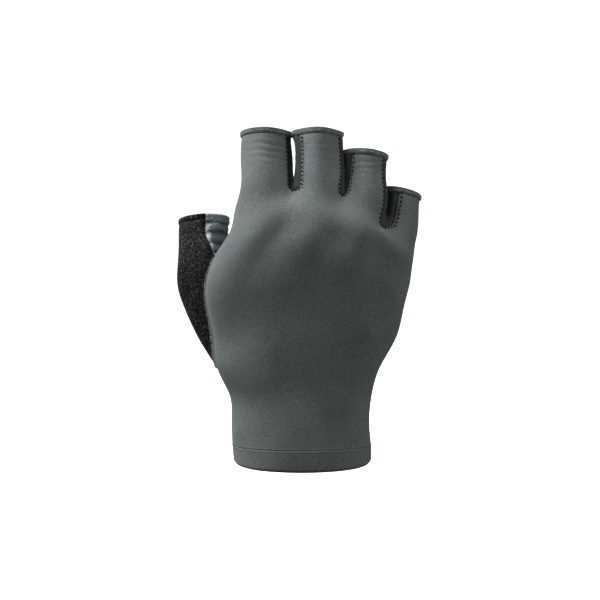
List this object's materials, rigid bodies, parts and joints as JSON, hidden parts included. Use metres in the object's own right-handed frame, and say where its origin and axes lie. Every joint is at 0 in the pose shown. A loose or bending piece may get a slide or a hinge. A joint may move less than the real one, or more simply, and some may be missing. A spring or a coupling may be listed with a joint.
{
  "type": "short-finger cycling glove",
  "caption": "Short-finger cycling glove for a right hand: knitted back and wrist, plain palm, open finger and thumb sleeves with rolled hems, and a striped towelling gusset at the thumb.",
  "frame": {"origin": "middle of the wrist opening, at the height of the cuff rim's two sides", "axes": "+Z from the cuff to the fingertips, +X from the thumb side to the little-finger side, +Y from the back of the hand to the palm"},
  "size_m": [0.112, 0.0488, 0.1502],
  "materials": {
    "grey_knit": "smooth stretch jersey knit, grey",
    "grey_binding": "narrow rolled hem of the same grey knit",
    "black_palm": "fine-grained black synthetic suede",
    "striped_towelling": "blue-grey ribbed towelling, soft and matt"
  },
  "bodies": {
    "root": {"back_panel": "grey_knit", "cuff_hem": "grey_knit", "index_middle_side": "grey_knit", "middle_ring_side": "grey_knit", "ring_little_side": "grey_knit", "index_hem": "grey_binding", "middle_hem": "grey_binding", "ring_hem": "grey_binding", "little_hem": "grey_binding", "palm_panel": "black_palm", "thumb_panel": "black_palm", "thumb_hem": "black_palm", "gusset_panel": "striped_towelling", "gusset_hem": "striped_towelling"}
  },
  "joints": []
}
